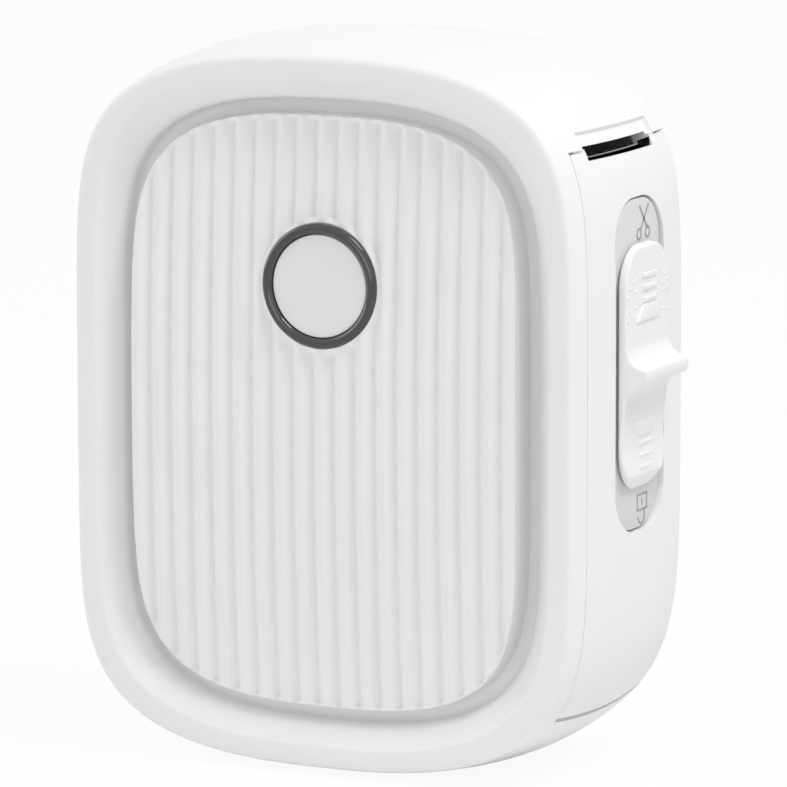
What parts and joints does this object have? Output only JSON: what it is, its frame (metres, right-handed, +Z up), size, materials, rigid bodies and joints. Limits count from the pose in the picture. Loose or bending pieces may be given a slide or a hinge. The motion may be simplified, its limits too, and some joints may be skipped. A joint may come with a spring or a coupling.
{
  "type": "thermal label printer",
  "caption": "Upright hand-held thermal label printer: ribbed front panel with a round button, side thumb slider with a label cutter, label slot and hinged back door.",
  "frame": {"origin": "middle of the flat base, on the surface it stands on, at mid-depth", "axes": "+Z up, +Y towards the back door, +X towards the thumb slider"},
  "size_m": [0.0812, 0.0353, 0.0988],
  "materials": {
    "white_housing": "satin, very fine moulded grain",
    "white_panel": "satin, moulded ribs",
    "dark_ring": "gloss",
    "grey_cap": "satin",
    "white_slider": "satin",
    "grey_acetal": "satin",
    "black_plastic": "matt",
    "tool_steel": "ground",
    "spring_steel": "drawn wire",
    "zinc_sheet": "zinc plated",
    "circuit_board": "solder mask",
    "flex_film": "polyimide film",
    "motor_steel": "nickel plated",
    "brass_pinion": "machined",
    "ivory_acetal": "satin",
    "platen_rubber": "ground",
    "heat_sink_aluminium": "extruded",
    "head_ceramic": "glazed",
    "cassette_grey": "satin",
    "label_paper": "smooth",
    "core_board": "plain",
    "cell_sleeve": "gloss sleeve",
    "contact_plate": "nickel plated"
  },
  "bodies": {
    "base": {"front_housing": "white_housing", "front_panel": "white_panel", "button_ring": "dark_ring", "button_board": "circuit_board", "button_switch": "black_plastic", "side_panel": "white_housing", "cutter_anvil": "tool_steel", "spring_upper": "spring_steel", "spring_lower": "spring_steel", "door_hinge_pins": "tool_steel", "chassis": "zinc_sheet", "main_board": "circuit_board", "board_chips": "black_plastic", "flat_cable": "flex_film", "motor_can": "motor_steel", "gear_axles": "tool_steel", "platen_bushes": "ivory_acetal", "head_pivot_pin": "tool_steel", "cassette_case": "cassette_grey", "label_strip": "label_paper", "cell_tray": "black_plastic", "cells": "cell_sleeve", "cell_contacts": "contact_plate", "case_screws": "zinc_sheet"},
    "thumb_slider": {"slider": "white_slider", "slider_carriage": "grey_acetal", "blade_holder": "grey_acetal", "cutter_blade": "tool_steel"},
    "door": {"back_door": "white_housing"},
    "button": {"button_cap": "grey_cap"},
    "rotor": {"motor_shaft": "tool_steel", "motor_pinion": "brass_pinion"},
    "first_wheel": {"first_gear": "ivory_acetal"},
    "second_wheel": {"second_gear": "ivory_acetal"},
    "platen": {"platen_gear": "ivory_acetal", "platen_shaft": "tool_steel", "platen_roller": "platen_rubber"},
    "roll": {"label_roll": "label_paper", "roll_core": "core_board"},
    "head": {"head_bracket": "zinc_sheet", "heat_sink": "heat_sink_aluminium", "print_head": "head_ceramic"}
  },
  "joints": [
    {"name": "slider_slide", "type": "slide", "parent": "base", "child": "thumb_slider", "axis": [0, 0, 1], "range_m": [-0.0045, 0.005], "stiffness_N_per_m": 500, "deforming": ["spring_upper", "spring_lower"]},
    {"name": "door_hinge", "type": "hinge", "parent": "base", "child": "door", "pos_m": [-0.0344, 0.017, 0.0491], "axis": [0, 0, 1], "range_deg": [0, 95]},
    {"name": "button_press", "type": "slide", "parent": "base", "child": "button", "axis": [0, 1, 0], "range_m": [0, 0.0005], "stiffness_N_per_m": 900},
    {"name": "roll_spin", "type": "hinge", "parent": "base", "child": "roll", "pos_m": [-0.008, 0, 0.0696], "axis": [0, 1, 0], "continuous": true},
    {"name": "platen_spin", "type": "hinge", "parent": "base", "child": "platen", "pos_m": [0.023, 0, 0.0766], "axis": [0, 1, 0], "continuous": true},
    {"name": "second_gear_spin", "type": "hinge", "parent": "base", "child": "second_wheel", "pos_m": [0.01992, -0.008, 0.06814], "axis": [0, 1, 0], "continuous": true},
    {"name": "first_gear_spin", "type": "hinge", "parent": "base", "child": "first_wheel", "pos_m": [0.01784, -0.009, 0.05633], "axis": [0, 1, 0], "continuous": true},
    {"name": "motor_spin", "type": "hinge", "parent": "base", "child": "rotor", "pos_m": [0.009, -0.008, 0.04749], "axis": [0, 1, 0], "continuous": true},
    {"name": "head_lift", "type": "hinge", "parent": "base", "child": "head", "pos_m": [0.013, 0, 0.0891], "axis": [0, -1, 0], "range_deg": [0, 8], "stiffness_Nm_per_rad": 0.05, "springref_deg": -5.73}
  ],
  "couplings": [
    {"joint": "platen_spin", "follows": "roll_spin", "ratio": 3.5},
    {"joint": "second_gear_spin", "follows": "roll_spin", "ratio": -7},
    {"joint": "first_gear_spin", "follows": "roll_spin", "ratio": 21},
    {"joint": "motor_spin", "follows": "roll_spin", "ratio": -84}
  ]
}
